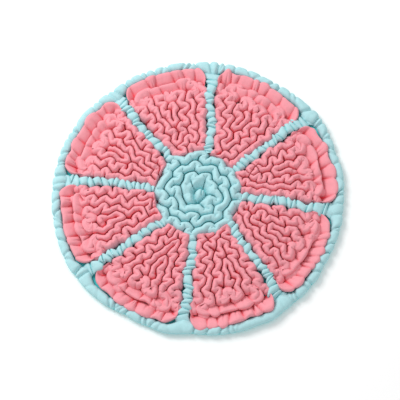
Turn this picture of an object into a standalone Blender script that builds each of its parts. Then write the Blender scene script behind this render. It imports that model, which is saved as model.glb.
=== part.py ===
"""Round slow feeder mat of gathered fleece.

A flat round base cloth carries eight fan-shaped petals. Each petal is one long strip of
doubled fleece, gathered to half its length and sewn down in turns from the petal's edge to
its heart. Eight straight gathered strips, the spokes, stand between the petals. A gathered
rosette sits in the middle, and a gathered binding runs round the rim.

Metres, +Z up. The origin is the middle of the base cloth's underside.
"""

import math
from collections import namedtuple

import bpy
import numpy as np

# Driving dimensions of the cloth and its folds
BASE_THICKNESS = 0.003
SEAM_GAP = 0.0003  # air left between a strip's foot and the base cloth
FOLD_THICKNESS = 0.0073  # a doubled strip across its soft fold, at the top
FOOT_THICKNESS = 0.003  # the same strip at its sewn foot
FOLD_HEIGHT = 0.029  # top of the upright folds above the floor
GATHER_PITCH = 0.0236  # one full wave of a gathered strip along its seam
GATHER_DRIFT = 0.12  # share by which the waves are closer here and wider there
DRIFT_LENGTH = 0.087
WIDEST_WAVE = 0.0068  # how far a fold wanders to each side of its seam
FOOT_WAVE = 0.0012  # how far the sewn foot does
FOLD_GAP = 0.0009  # least air between neighbouring folds
WAVE_SECTIONS = ((0.08, 1), (0.42, 1), (0.58, -1), (0.92, -1))  # share of a wave, and the side
WIDEST_MITER = 1.25
BEND_SHARE = 0.28  # share of a bend's radius that the fold may take up on its inside
BEND_STRETCH = 0.0035  # radius of bend at which the waves would be twice as long

# Outward lean, which grows towards the rim
LEAN_RADIUS = 0.240
LEAN_AT_EDGE = 0.012
DROP_AT_EDGE = 0.004  # how much lower the leaning folds stand

# Seams
SEAM_STEP = 0.001
TURN_LENGTH = 0.035  # stretches of a seam further apart than this count as other turns
ROOM_SPREAD = 12  # seam steps to each side over which a narrow place holds the fold in
SPOKE_WAVE = 0.0048
SPOKE_PITCH = 0.0200
SPOKE_FOLD_THICKNESS = 0.0065
SPOKE_INNER_RADIUS = 0.0825
SPOKE_TO_RIM = 0.0235
SPOKE_SOFTENING = 0.003
PETAL_INNER_RADIUS = 0.0870
PETAL_TO_SPOKE = 0.0155  # from a spoke's seam to the petal's outermost seam
PETAL_TO_RIM = 0.040  # from the rim's edge to the petal's outermost seam
PETAL_HEART_RADIUS = 0.165
PETAL_CORE_HALF = 0.011  # half the length of the straight stretch in the petal's heart
PETAL_START_DEG = 2  # degrees wound about the heart, from the petal's narrow end
PETAL_STEPS_DEG = ((346, 370), (706, 730), (1020, 1060))  # where the strip steps in by a turn
PETAL_SOFTENING = 0.025
ROSETTE_REACH = 0.0805
ROSETTE_TURNS = 4
ROSETTE_TURN_PITCH = 0.0205
ROSETTE_START_DEG = 200
ROSETTE_END_DEG = 300
ROSETTE_STEP_FROM_DEG = 324
ROSETTE_STEP_DEG = 34
ROSETTE_SOFTENING = 0.008

# Rim binding
RIM_WIDTH = 0.0165
RIM_HEIGHT = 0.013
RIM_PITCH = 0.0195
RIM_MEAN_RADIUS = 0.27
RIM_CREASE_IN = 0.0018
RIM_CREASE_DOWN = 0.0035
RIM_SHOULDER = 0.62  # share of the height at which the sides round over
RIM_CROWN = 0.52  # share of the width at which the binding is highest
RIM_UNDERCUT = 0.0015
BASE_INSET = 0.003  # the rim's edge stands this far outside the base cloth
BASE_POINTS = 96

# Each row is a spoke: its bearing where it leaves the rosette and where it meets the rim, the
# rim's reach at the spoke, and the rim's reach halfway to the next row's spoke.
Spoke = namedtuple("Spoke", "inner_deg outer_deg rim_reach next_reach")
SPOKES = (
    Spoke(74, 84, 0.2755, 0.274),
    Spoke(33, 37, 0.281, 0.277),
    Spoke(-5, -7, 0.2750, 0.273),
    Spoke(-43, -53, 0.276, 0.276),
    Spoke(-96, -96, 0.2755, 0.273),
    Spoke(-139, -144, 0.275, 0.275),
    Spoke(-188, -187, 0.2755, 0.275),
    Spoke(-233, -232, 0.272, 0.273),
)

PINK = (0.78, 0.22, 0.26, 1.0)
AQUA = (0.36, 0.72, 0.75, 1.0)


def clear_scene():
    for thing in list(bpy.data.objects):
        bpy.data.objects.remove(thing, do_unlink=True)


def fleece(name, colour):
    material = bpy.data.materials.new(name)
    material.use_nodes = True
    shader = material.node_tree.nodes["Principled BSDF"]
    shader.inputs["Base Color"].default_value = colour
    shader.inputs["Roughness"].default_value = 0.95
    shader.inputs["Metallic"].default_value = 0.0
    return material


def add_to_mat(thing, material):
    bpy.data.collections["slow_feeder_mat"].objects.link(thing)
    thing.data.materials.append(material)
    return thing


def polar(radius, degrees):
    angle = math.radians(degrees)
    return np.array([radius * math.cos(angle), radius * math.sin(angle)])


def smooth_step(share):
    share = min(1.0, max(0.0, share))
    return share * share * (3 - 2 * share)


def rim_reach(bearings):
    """The rim's reach from the centre at these bearings, in radians."""
    known, reach = [], []
    for spoke, following in zip(SPOKES, SPOKES[1:] + (SPOKES[0],)):
        turn = (spoke.outer_deg - following.outer_deg) % 360
        known += [math.radians(spoke.outer_deg), math.radians(spoke.outer_deg - turn / 2)]
        reach += [spoke.rim_reach, spoke.next_reach]
    return np.interp(bearings, known, reach, period=2 * math.pi)


def lean(points, height):
    """Points in plan at a fold's top, laid outwards the more the nearer they are to the rim."""
    radius = np.linalg.norm(points, axis=1)
    share = (radius / LEAN_RADIUS) ** 4
    moved = points * (1 + LEAN_AT_EDGE * share / np.maximum(radius, 1e-6))[:, None]
    return moved, height - DROP_AT_EDGE * share


def along(points):
    """Distance along a polyline to each of its points."""
    return np.concatenate([[0], np.cumsum(np.linalg.norm(np.diff(points, axis=0), axis=1))])


def at_distance(points, distances, values):
    """The values that go with a polyline's points, read at these distances along it."""
    known = along(points)
    return np.stack([np.interp(distances, known, column) for column in values.T], axis=1)


def softened(points, reach):
    """The polyline at even steps, with its corners rounded over about this reach."""
    fine = at_distance(points, np.arange(0, along(points)[-1], SEAM_STEP), points)
    half = int(reach / SEAM_STEP) // 2
    kernel = np.hanning(2 * half + 3)[1:-1]
    kernel /= kernel.sum()
    padded = np.pad(fine, ((half, half), (0, 0)), mode="reflect", reflect_type="odd")
    return np.stack([np.convolve(column, kernel, mode="valid") for column in padded.T], axis=1)


def side_normals(points):
    ahead = np.gradient(points, axis=0)
    ahead /= np.linalg.norm(ahead, axis=1)[:, None]
    return np.stack([-ahead[:, 1], ahead[:, 0]], axis=1)


def wave_room(seam, widest, thickness):
    """How far the fold may wander to each side before it meets the strip's other turns."""
    distance = along(seam)
    room = np.full(len(seam), widest)
    for i, point in enumerate(seam):
        other_turns = seam[np.abs(distance - distance[i]) > TURN_LENGTH]
        if len(other_turns):
            nearest = np.linalg.norm(other_turns - point, axis=1).min()
            room[i] = min(widest, (nearest - thickness - FOLD_GAP) / 2)
    return room


def spoke_room(seam, spokes, thickness):
    """How far a petal's fold may wander before it meets the spokes beside it."""
    rooms = []
    for spoke in spokes:
        near, far = spoke_ends(spoke)
        ahead = (far - near) / np.linalg.norm(far - near)
        away = np.abs((seam - near) @ np.array([-ahead[1], ahead[0]]))
        rooms.append(away - SPOKE_WAVE - SPOKE_FOLD_THICKNESS / 2 - FOLD_GAP - thickness / 2)
    return np.minimum(*rooms)


def bend(seam):
    """The seam's curvature, positive to the left."""
    ahead = np.gradient(seam, axis=0)
    heading = np.unwrap(np.arctan2(ahead[:, 1], ahead[:, 0]))
    return np.gradient(heading, along(seam))


def bend_room(seam, thickness):
    """How far the fold may wander to the left and to the right without crowding in a bend."""
    turning = bend(seam)
    room = BEND_SHARE / np.maximum(np.abs(turning), 1e-6) - thickness / 2
    room = np.maximum(room, 0)
    return np.where(turning > 0, room, np.inf), np.where(turning < 0, room, np.inf)


def offset_sides(centre, half_thickness):
    """The two sides of a strip with this centreline, mitred where it turns."""
    step = np.diff(centre, axis=0)
    step /= np.linalg.norm(step, axis=1)[:, None]
    before, after = np.vstack([step[:1], step]), np.vstack([step, step[-1:]])
    middle = before + after
    middle /= np.linalg.norm(middle, axis=1)[:, None]
    miter = 1 / np.maximum((middle * after).sum(axis=1), 1 / WIDEST_MITER)
    normal = np.stack([-middle[:, 1], middle[:, 0]], axis=1) * (half_thickness * miter)[:, None]
    return centre + normal, centre - normal


def loft(name, rings, closed, material):
    """A solid through these cross-sections, each with the same number of corners."""
    count, corners = rings.shape[0], rings.shape[1]
    faces = []
    for i in range(count if closed else count - 1):
        near, far = i * corners, (i + 1) % count * corners
        for j in range(corners):
            k = (j + 1) % corners
            faces.append((near + j, near + k, far + k, far + j))
    if not closed:
        faces.append(tuple(range(corners))[::-1])
        faces.append(tuple(range((count - 1) * corners, count * corners)))
    mesh = bpy.data.meshes.new(name)
    mesh.from_pydata(rings.reshape(-1, 3).tolist(), [], faces)
    mesh.validate()
    mesh.update()
    return add_to_mat(bpy.data.objects.new(name, mesh), material)


def wave_distances(seam, pitch):
    """Where the sections of each wave lie along a seam, the waves a little uneven."""
    distance = along(seam)
    uneven = 1 + GATHER_DRIFT * np.sin(2 * np.pi * distance / DRIFT_LENGTH)
    length = pitch * (1 + BEND_STRETCH * np.abs(bend(seam)))
    counted = np.cumsum(SEAM_STEP * uneven / length)
    waves = max(1, round(counted[-1]))
    phases = np.array([phase for phase, _ in WAVE_SECTIONS])
    wanted = (np.arange(waves)[:, None] + phases).ravel() * counted[-1] / waves
    return np.interp(wanted, counted, distance)


def gathered_strip(name, seam, pitch, room, thickness, material):
    """A doubled strip, gathered so that its fold wanders to both sides of the seam."""
    distances = wave_distances(seam, pitch)
    waves = len(distances) // len(WAVE_SECTIONS)
    side = np.tile([float(side) for _, side in WAVE_SECTIONS], waves)
    room = [room[max(0, i - ROOM_SPREAD) : i + ROOM_SPREAD].min() for i in range(len(room))]
    room = np.maximum(room, FOOT_WAVE)
    left_room, right_room = bend_room(seam, thickness)
    table = np.column_stack(
        [seam, side_normals(seam), np.minimum(room, left_room), np.minimum(room, right_room)]
    )
    read = at_distance(seam, distances, table)
    ground, normal = read[:, 0:2], read[:, 2:4]
    normal /= np.linalg.norm(normal, axis=1)[:, None]
    reach = np.where(side > 0, read[:, 4], -read[:, 5])
    foot_line = ground + normal * (side * FOOT_WAVE)[:, None]
    fold_line = ground + normal * reach[:, None]
    foot_left, foot_right = offset_sides(foot_line, FOOT_THICKNESS / 2)
    fold_left, fold_right = offset_sides(fold_line, thickness / 2)
    foot_height = np.full(len(side), BASE_THICKNESS + SEAM_GAP)
    rings = np.stack(
        [
            np.column_stack([foot_left, foot_height]),
            np.column_stack(lean(fold_left, FOLD_HEIGHT)),
            np.column_stack(lean(fold_right, FOLD_HEIGHT)),
            np.column_stack([foot_right, foot_height]),
        ],
        axis=1,
    )
    return loft(name, rings, False, material)


def base_cloth(material):
    bearings = np.linspace(0, 2 * math.pi, BASE_POINTS, endpoint=False)
    curve = bpy.data.curves.new("base_cloth", "CURVE")
    curve.dimensions = "2D"
    curve.fill_mode = "BOTH"
    curve.extrude = BASE_THICKNESS / 2
    spline = curve.splines.new("POLY")
    spline.points.add(len(bearings) - 1)
    spline.use_cyclic_u = True
    for point, bearing, reach in zip(spline.points, bearings, rim_reach(bearings) - BASE_INSET):
        point.co = (reach * math.cos(bearing), reach * math.sin(bearing), 0, 1)
    cloth = add_to_mat(bpy.data.objects.new("base_cloth", curve), material)
    cloth.location.z = BASE_THICKNESS / 2
    return cloth


def rim_binding(material):
    """A gathered binding: pillows between creases, with a flat underside on the base cloth."""
    gathers = round(2 * math.pi * RIM_MEAN_RADIUS / RIM_PITCH)
    bearings = np.linspace(0, 2 * math.pi, 2 * gathers, endpoint=False)
    crease = np.arange(2 * gathers) % 2
    reach = rim_reach(bearings) - RIM_CREASE_IN * crease
    foot = np.full_like(reach, BASE_THICKNESS + SEAM_GAP)
    crown = foot + RIM_HEIGHT - RIM_CREASE_DOWN * crease
    shoulder = foot + (crown - foot) * RIM_SHOULDER
    profile = (
        (reach - RIM_WIDTH, foot),
        (reach - RIM_WIDTH, shoulder),
        (reach - RIM_WIDTH * RIM_CROWN, crown),
        (reach, shoulder),
        (reach - RIM_UNDERCUT, foot),
    )
    corners = [
        np.column_stack([radius * np.cos(bearings), radius * np.sin(bearings), height])
        for radius, height in profile
    ]
    return loft("rim_binding", np.stack(corners, axis=1), True, material)


def spoke_ends(spoke):
    outer_radius = spoke.rim_reach - SPOKE_TO_RIM
    return polar(SPOKE_INNER_RADIUS, spoke.inner_deg), polar(outer_radius, spoke.outer_deg)


def spoke_strip(number, spoke, material):
    seam = softened(np.array(spoke_ends(spoke)), SPOKE_SOFTENING)
    room = np.full(len(seam), SPOKE_WAVE)
    name = f"spoke_{number}"
    return gathered_strip(name, seam, SPOKE_PITCH, room, SPOKE_FOLD_THICKNESS, material)


def petal_edge(start, direction, spokes, rim):
    """Distance from a point in the petal to its outermost seam in this direction."""
    reaches = []
    for spoke in spokes:
        near, far = spoke_ends(spoke)
        normal = np.array([near[1] - far[1], far[0] - near[0]])
        normal /= np.linalg.norm(normal)
        clear = (start - near) @ normal
        normal, clear = (normal, clear) if clear > 0 else (-normal, -clear)
        closing = -(direction @ normal)
        if closing > 1e-6:
            reaches.append((clear - PETAL_TO_SPOKE) / closing)
    towards, square = direction @ start, start @ start
    reaches.append(-towards + math.sqrt(towards**2 - square + rim**2))
    inside = towards**2 - square + PETAL_INNER_RADIUS**2
    if inside > 0 and towards < 0:
        reaches.append(-towards - math.sqrt(inside))
    return min(reaches)


def turn_share(degrees):
    """The strip's distance from the core as a share of the petal's, less with each turn."""
    taken = [smooth_step((degrees - start) / (end - start)) for start, end in PETAL_STEPS_DEG]
    return 1 - sum(taken) / len(taken)


def petal_seam(spoke, following):
    """Three turns round the petal, then a straight stretch along its core."""
    near = (spoke_ends(spoke)[0] + spoke_ends(following)[0]) / 2
    far = (spoke_ends(spoke)[1] + spoke_ends(following)[1]) / 2
    outward = (far - near) / np.linalg.norm(far - near)
    heart = near + outward * (PETAL_HEART_RADIUS - np.linalg.norm(near))
    rim = rim_reach([math.atan2(heart[1], heart[0])])[0] - PETAL_TO_RIM
    inward = math.atan2(-outward[1], -outward[0])
    points = []
    for degrees in range(PETAL_START_DEG, PETAL_STEPS_DEG[-1][1] + 1):
        turned = math.radians(degrees)
        core = heart - outward * PETAL_CORE_HALF * math.cos(turned)
        direction = np.array([math.cos(inward + turned), math.sin(inward + turned)])
        reach = petal_edge(core, direction, (spoke, following), rim)
        points.append(core + direction * reach * turn_share(degrees))
    points.append(heart + outward * PETAL_CORE_HALF)
    return softened(np.array(points), PETAL_SOFTENING)


def petal_strip(number, material):
    spokes = (SPOKES[number - 1], SPOKES[number % len(SPOKES)])
    seam = petal_seam(*spokes)
    own_room = wave_room(seam, WIDEST_WAVE, FOLD_THICKNESS)
    room = np.minimum(own_room, spoke_room(seam, spokes, FOLD_THICKNESS))
    name = f"petal_{number}"
    return gathered_strip(name, seam, GATHER_PITCH, room, FOLD_THICKNESS, material)


def rosette_seam():
    """The centre's seam, wound in from the rosette's edge to its bud."""
    widest = ROSETTE_REACH - FOLD_THICKNESS / 2 - WIDEST_WAVE
    points = []
    for degrees in range(0, 360 * (ROSETTE_TURNS - 1) + ROSETTE_END_DEG, 2):
        turn, angle = divmod(degrees, 360)
        steps = turn + smooth_step((angle - ROSETTE_STEP_FROM_DEG) / ROSETTE_STEP_DEG)
        points.append(polar(widest - ROSETTE_TURN_PITCH * steps, ROSETTE_START_DEG + degrees))
    return softened(np.array(points), ROSETTE_SOFTENING)


def rosette_strip(material):
    seam = rosette_seam()
    room = wave_room(seam, WIDEST_WAVE, FOLD_THICKNESS)
    return gathered_strip("rosette", seam, GATHER_PITCH, room, FOLD_THICKNESS, material)


def main():
    clear_scene()
    bpy.context.scene.collection.children.link(bpy.data.collections.new("slow_feeder_mat"))
    pink, aqua = fleece("pink_fleece", PINK), fleece("aqua_fleece", AQUA)
    base_cloth(aqua)
    rim_binding(aqua)
    for number, spoke in enumerate(SPOKES, start=1):
        spoke_strip(number, spoke, aqua)
        petal_strip(number, pink)
    rosette_strip(aqua)


main()
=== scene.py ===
# %% [markdown]
# # A gathered fleece feeding mat
#
# The real mat is a round cloth with strips of doubled fleece sewn onto it. Each strip is folded
# along its length, so its top edge is a soft round fold, and its foot is gathered onto the base
# at about half its length. The spare length has nowhere to go, so the fold wanders from side to
# side and packs against its neighbours. This lesson makes that happen: it lays out the seams,
# lets the fold lines swell and push each other apart, and builds a soft surface over them.
#
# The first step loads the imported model, which fixes every size and place.

# %% Load the frame
import math
from collections import namedtuple

import bpy
import numpy as np
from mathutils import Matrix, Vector


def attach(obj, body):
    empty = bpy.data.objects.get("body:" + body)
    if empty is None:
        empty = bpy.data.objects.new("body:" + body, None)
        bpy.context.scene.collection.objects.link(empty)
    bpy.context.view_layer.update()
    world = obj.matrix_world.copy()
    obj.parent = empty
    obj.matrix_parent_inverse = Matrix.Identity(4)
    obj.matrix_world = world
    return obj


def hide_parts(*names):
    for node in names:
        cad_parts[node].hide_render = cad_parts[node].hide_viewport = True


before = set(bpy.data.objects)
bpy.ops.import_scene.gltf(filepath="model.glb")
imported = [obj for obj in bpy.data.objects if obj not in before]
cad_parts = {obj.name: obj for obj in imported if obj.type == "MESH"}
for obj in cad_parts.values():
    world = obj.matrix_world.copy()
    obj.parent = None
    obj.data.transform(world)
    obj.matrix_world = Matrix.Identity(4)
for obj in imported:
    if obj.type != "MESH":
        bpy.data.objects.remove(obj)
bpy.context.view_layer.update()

BODY = "root"

# %% [markdown]
# ## The plan of the seams
#
# A maker marks the seams on the base cloth first: eight spokes, a rosette in the middle, and in
# each petal one line that winds from the edge to the heart. The same marks are repeated here in
# metres, because every fold has to stand where its solid stands. The rim isn't a perfect circle,
# so each spoke also says how far the rim reaches there and halfway to the next spoke.

# %% Marks on the base cloth
Spoke = namedtuple("Spoke", "inner_deg outer_deg rim_reach next_reach")
SPOKES = (
    Spoke(74, 84, 0.2755, 0.274),
    Spoke(33, 37, 0.281, 0.277),
    Spoke(-5, -7, 0.2750, 0.273),
    Spoke(-43, -53, 0.276, 0.276),
    Spoke(-96, -96, 0.2755, 0.273),
    Spoke(-139, -144, 0.275, 0.275),
    Spoke(-188, -187, 0.2755, 0.275),
    Spoke(-233, -232, 0.272, 0.273),
)
SPOKE_INNER_RADIUS = 0.0825
SPOKE_TO_RIM = 0.0235
PETAL_INNER_RADIUS = 0.0870
PETAL_TO_SPOKE = 0.0155
PETAL_TO_RIM = 0.040
PETAL_HEART_RADIUS = 0.165
PETAL_CORE_HALF = 0.011
PETAL_START_DEG = 2
PETAL_STEPS_DEG = ((346, 370), (706, 730), (1020, 1060))
ROSETTE_EDGE_RADIUS = 0.070
ROSETTE_TURNS = 4
ROSETTE_TURN_PITCH = 0.0205
ROSETTE_START_DEG = 200
ROSETTE_END_DEG = 300
ROSETTE_STEP_FROM_DEG = 324
ROSETTE_STEP_DEG = 34
SEAM_STEP = 0.001


def polar(radius, degrees):
    angle = math.radians(degrees)
    return np.array([radius * math.cos(angle), radius * math.sin(angle)])


def smooth_step(share):
    share = np.clip(share, 0.0, 1.0)
    return share * share * (3 - 2 * share)


def along(points):
    """Distance along a polyline to each of its points."""
    return np.concatenate([[0], np.cumsum(np.linalg.norm(np.diff(points, axis=0), axis=1))])


def at_distance(points, distances, values):
    """The values that go with a polyline's points, read at these distances along it."""
    known = along(points)
    return np.stack([np.interp(distances, known, column) for column in values.T], axis=1)


def hann_smooth(values, half):
    """A running average over half a window to each side, which keeps straight ends straight."""
    kernel = np.hanning(2 * half + 3)[1:-1]
    kernel /= kernel.sum()
    padded = np.pad(values, (half, half), mode="reflect", reflect_type="odd")
    return np.convolve(padded, kernel, mode="valid")


def softened(points, reach):
    """The polyline at even steps, with its corners rounded over about this reach."""
    fine = at_distance(points, np.arange(0, along(points)[-1], SEAM_STEP), points)
    half = int(reach / SEAM_STEP) // 2
    return np.stack([hann_smooth(column, half) for column in fine.T], axis=1)


def side_normals(points):
    ahead = np.gradient(points, axis=0)
    ahead /= np.maximum(np.linalg.norm(ahead, axis=1), 1e-9)[:, None]
    return np.stack([-ahead[:, 1], ahead[:, 0]], axis=1)


def rim_reach(bearings):
    """The rim's reach from the centre at these bearings, in radians."""
    known, reach = [], []
    for spoke, following in zip(SPOKES, SPOKES[1:] + (SPOKES[0],)):
        turn = (spoke.outer_deg - following.outer_deg) % 360
        known += [math.radians(spoke.outer_deg), math.radians(spoke.outer_deg - turn / 2)]
        reach += [spoke.rim_reach, spoke.next_reach]
    return np.interp(bearings, known, reach, period=2 * math.pi)


# %% [markdown]
# A spoke's seam is a straight line from the rosette to the rim. A petal's seam could be three
# closed rings, but one strip that steps in by a row each time it passes the narrow end is how
# such a mat is quickest to sew, and it leaves no loose ends in the rows.

# %% Seams of the spokes, petals and rosette
SPOKE_SOFTENING = 0.003
PETAL_SOFTENING = 0.025
ROSETTE_SOFTENING = 0.008


def spoke_ends(spoke):
    outer_radius = spoke.rim_reach - SPOKE_TO_RIM
    return polar(SPOKE_INNER_RADIUS, spoke.inner_deg), polar(outer_radius, spoke.outer_deg)


def petal_edge(start, direction, spokes, rim):
    """Distance from a point in the petal to its outermost seam in this direction."""
    reaches = []
    for spoke in spokes:
        near, far = spoke_ends(spoke)
        normal = np.array([near[1] - far[1], far[0] - near[0]])
        normal /= np.linalg.norm(normal)
        clear = (start - near) @ normal
        normal, clear = (normal, clear) if clear > 0 else (-normal, -clear)
        closing = -(direction @ normal)
        if closing > 1e-6:
            reaches.append((clear - PETAL_TO_SPOKE) / closing)
    towards, square = direction @ start, start @ start
    reaches.append(-towards + math.sqrt(towards**2 - square + rim**2))
    inside = towards**2 - square + PETAL_INNER_RADIUS**2
    if inside > 0 and towards < 0:
        reaches.append(-towards - math.sqrt(inside))
    return min(reaches)


def petal_seam(spoke, following):
    """Three turns round the petal, then a straight stretch along its core."""
    near = (spoke_ends(spoke)[0] + spoke_ends(following)[0]) / 2
    far = (spoke_ends(spoke)[1] + spoke_ends(following)[1]) / 2
    outward = (far - near) / np.linalg.norm(far - near)
    heart = near + outward * (PETAL_HEART_RADIUS - np.linalg.norm(near))
    rim = rim_reach([math.atan2(heart[1], heart[0])])[0] - PETAL_TO_RIM
    inward = math.atan2(-outward[1], -outward[0])
    points = []
    for degrees in range(PETAL_START_DEG, PETAL_STEPS_DEG[-1][1] + 1):
        turned = math.radians(degrees)
        core = heart - outward * PETAL_CORE_HALF * math.cos(turned)
        direction = np.array([math.cos(inward + turned), math.sin(inward + turned)])
        taken = sum(smooth_step((degrees - start) / (end - start)) for start, end in PETAL_STEPS_DEG)
        reach = petal_edge(core, direction, (spoke, following), rim)
        points.append(core + direction * reach * (1 - taken / len(PETAL_STEPS_DEG)))
    points.append(heart + outward * PETAL_CORE_HALF)
    return softened(np.array(points), PETAL_SOFTENING)


def rosette_seam():
    points = []
    for degrees in range(0, 360 * (ROSETTE_TURNS - 1) + ROSETTE_END_DEG, 2):
        turn, angle = divmod(degrees, 360)
        steps = turn + smooth_step((angle - ROSETTE_STEP_FROM_DEG) / ROSETTE_STEP_DEG)
        radius = ROSETTE_EDGE_RADIUS - ROSETTE_TURN_PITCH * steps
        points.append(polar(radius, ROSETTE_START_DEG + degrees))
    return softened(np.array(points), ROSETTE_SOFTENING)


seams = {"rosette": rosette_seam()}
for number, spoke in enumerate(SPOKES, start=1):
    seams[f"spoke_{number}"] = softened(np.array(spoke_ends(spoke)), SPOKE_SOFTENING)
    seams[f"petal_{number}"] = petal_seam(spoke, SPOKES[number % len(SPOKES)])
print("seams, m:", {name: round(float(along(seam)[-1]), 2) for name, seam in seams.items()})

# %% [markdown]
# ## Fold lines before they settle
#
# Seen from above, the top fold of a gathered strip is a wavy line over its seam. It starts with
# waves like those of the solids, some longer and some shorter, as hands make them. Each point of
# the fold also knows its foot, the place on the seam where that bit of cloth is sewn down: the
# feet are spread evenly, as gathers are.
#
# Each kind of strip has its own row of sizes: the length of a wave along the seam, how far it
# swings, the room that a fold asks for, the width that it fluffs up to, how much spare cloth the
# gathers can hold, how far the fold can get from its foot, and how stiff the cloth is. Towards
# the rim the petals' rows lie down as broad pleats, so there they have a second row of sizes, and
# a share blends the two.

# %% Waves along a seam
Gather = namedtuple("Gather", "pitch wave thickness width fullness reach stiffness")
GATHERS = {
    "petal": Gather(0.0240, 0.0068, 0.0116, 0.0104, 1.75, 0.0175, 0.05),
    "spoke": Gather(0.0200, 0.0050, 0.0130, 0.0136, 1.00, 0.0060, 0.12),
    "rosette": Gather(0.0300, 0.0078, 0.0118, 0.0120, 1.25, 0.0130, 0.24),
}
PLEATS = Gather(0.0215, 0.0068, 0.0096, 0.0104, 1.15, 0.0085, 0.12)
PLEAT_FROM_RADIUS = 0.190
PLEAT_TO_RADIUS = 0.216
GATHER_DRIFT = 0.12
DRIFT_LENGTH = 0.087
BEND_STRETCH = 0.0035
LINE_STEP = 0.0024
WAVE_SAMPLES = 40
WAVE_SHARPNESS = 2.0
UNEVEN_WAVE = 0.38
UNEVEN_PITCH = 0.27
randoms = np.random.default_rng(55)


def pleat_share(points, kind):
    """How far each point has gone over from upright folds to pleats that lie outwards."""
    if kind != "petal":
        return np.zeros(len(points))
    radius = np.linalg.norm(points, axis=1)
    return smooth_step((radius - PLEAT_FROM_RADIUS) / (PLEAT_TO_RADIUS - PLEAT_FROM_RADIUS))


def gather_sizes(points, kind):
    """The sizes of the gathers at each point, one column for each field."""
    share = pleat_share(points, kind)[:, None]
    return np.array(GATHERS[kind]) * (1 - share) + np.array(PLEATS) * share


def bend(seam):
    ahead = np.gradient(seam, axis=0)
    heading = np.unwrap(np.arctan2(ahead[:, 1], ahead[:, 0]))
    return np.gradient(heading, along(seam))


def wave_phase(seam, pitch):
    """The count of waves up to each point of the seam, in whole waves at its end."""
    distance = along(seam)
    uneven = 1 + GATHER_DRIFT * np.sin(2 * np.pi * distance / DRIFT_LENGTH)
    length = pitch * (1 + BEND_STRETCH * np.abs(bend(seam)))
    counted = np.cumsum(SEAM_STEP * uneven / length)
    return counted * max(1, round(counted[-1])) / counted[-1]


def first_fold_line(seam, kind):
    """The fold line before it settles, and each of its points' feet."""
    sizes = gather_sizes(seam, kind)
    phase, distance = wave_phase(seam, sizes[:, 0]), along(seam)
    waves = round(phase[-1])
    fine = np.linspace(phase[0], waves, waves * WAVE_SAMPLES)
    shuffle = randoms.uniform(-UNEVEN_PITCH, UNEVEN_PITCH, waves + 1)
    shuffle[[0, -1]] = 0
    moved = fine + np.interp(fine, np.arange(waves + 1), shuffle)
    seam_at = np.interp(moved, phase, distance)
    ground = at_distance(seam, seam_at, seam)
    normal = at_distance(seam, seam_at, side_normals(seam))
    swing = np.tanh(WAVE_SHARPNESS * np.sin(2 * np.pi * fine)) / math.tanh(WAVE_SHARPNESS)
    uneven = 1 + UNEVEN_WAVE * np.interp(fine, np.arange(waves + 1), randoms.uniform(-1, 1, waves + 1))
    wave = np.interp(seam_at, distance, sizes[:, 1])
    line = ground + normal * (swing * uneven * wave)[:, None]
    path = along(line)
    even = np.linspace(0, path[-1], int(path[-1] / LINE_STEP))
    foot_at = np.interp(even, path, seam_at)
    foot_at = np.clip(hann_smooth(foot_at, int(path[-1] / waves / LINE_STEP) // 2), 0, distance[-1])
    return at_distance(line, even, line), at_distance(seam, foot_at, seam)


names = list(seams)
kinds = [name.split("_")[0] for name in names]
lines, feet = zip(*(first_fold_line(seams[name], kind) for name, kind in zip(names, kinds)))
print("points on the fold lines:", sum(len(line) for line in lines))

# %% [markdown]
# ## Let the folds settle
#
# Cloth simulation could do this too, but 20 metres of gathered strip that touches itself
# everywhere is slow and unsteady to simulate. The view from above is what shows, so the fold
# lines settle in plan: each line grows wherever it still has room, resists sharp bends, stays
# near its foot, and pushes away every other stretch of fold that comes nearer than the cloth is
# thick. The cloth starts thin and swells as it settles, so loops can form before the folds are
# packed. The spokes are held still, and the petals settle against them.

# %% Settle the fold lines together
ROUNDS = 240
PAIR_REACH = 0.0145
PAIR_REFRESH = 4
NEAR_ON_LINE = 5
LENGTH_PASSES = 4
LENGTH_PULL = 0.4
PUSH = 0.35
WIDEST_PUSH = 0.0010
SAG = 0.12
FOOT_PULL = 0.001
GROWTH = 0.012
GROWTH_ROUNDS = 200
FULL_PRESSURE = 0.7
THINNEST = 0.40
SWELL_ROUNDS = 170


def close_pairs(points, reach):
    """Pairs of points in the same or neighbouring squares of a grid."""
    cell = np.floor(points / reach).astype(int)
    cell -= cell.min(axis=0) - 1
    columns = cell[:, 1].max() + 2
    key = cell[:, 0] * columns + cell[:, 1]
    order = np.argsort(key, kind="stable")
    pairs = []
    for step in (0, 1, columns - 1, columns, columns + 1):
        start = np.searchsorted(key[order], key + step, "left")
        end = np.searchsorted(key[order], key + step, "right")
        count = end - start
        first = np.repeat(np.arange(len(points)), count)
        within = np.arange(count.sum()) - np.repeat(np.cumsum(count) - count, count)
        second = order[np.repeat(start, count) + within]
        keep = first < second if step == 0 else np.full(len(first), True)
        pairs.append(np.stack([first[keep], second[keep]], axis=1))
    return np.concatenate(pairs)


def spread(index, vectors, count):
    """The sum of the vectors that go to each point."""
    return np.stack([np.bincount(index, column, count) for column in vectors.T], axis=1)


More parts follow.
